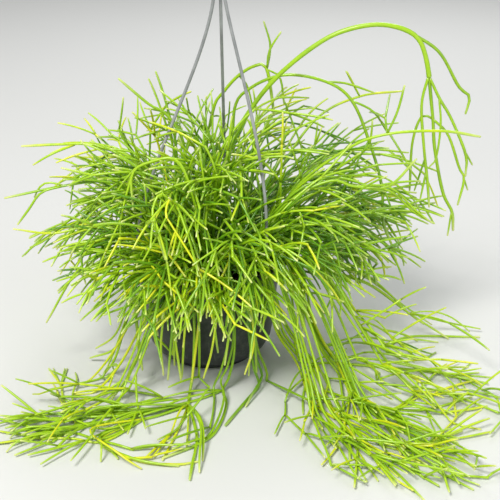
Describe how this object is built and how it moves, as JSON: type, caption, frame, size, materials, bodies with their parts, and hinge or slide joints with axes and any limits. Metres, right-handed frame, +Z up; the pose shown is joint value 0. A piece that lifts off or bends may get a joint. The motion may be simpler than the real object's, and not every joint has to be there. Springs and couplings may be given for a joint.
{
  "type": "mistletoe cactus in a hanging pot",
  "caption": "Mistletoe cactus with thin arching and trailing green stems, growing in a dark plastic pot with a clip-on strand hanger.",
  "frame": {"origin": "middle of the flat underside of the pot's foot", "axes": "+Z up, +X to the right and -Y towards the front of the picture"},
  "size_m": [0.4495, 0.443, 0.3948],
  "materials": {
    "pot": "semi-gloss moulded plastic, dusty and scuffed",
    "soil": "damp fibrous potting soil",
    "hanger": "satin grey plastic",
    "stem": "waxy green plant stem"
  },
  "bodies": {
    "root": {"pot": "pot", "soil": "soil", "hanger_strand_left": "hanger", "hanger_strand_back": "hanger", "hanger_strand_right": "hanger", "hanger_hook": "hanger", "arching_stem": "stem", "arching_stem_low": "stem", "arching_stem_right": "stem", "trailing_left": "stem", "trailing_right": "stem", "stems_centre": "stem", "stems_right": "stem", "stems_back_right": "stem", "stems_back": "stem", "stems_back_left": "stem", "stems_left": "stem", "stems_front_left": "stem", "stems_front": "stem", "stems_front_right": "stem"}
  },
  "joints": []
}
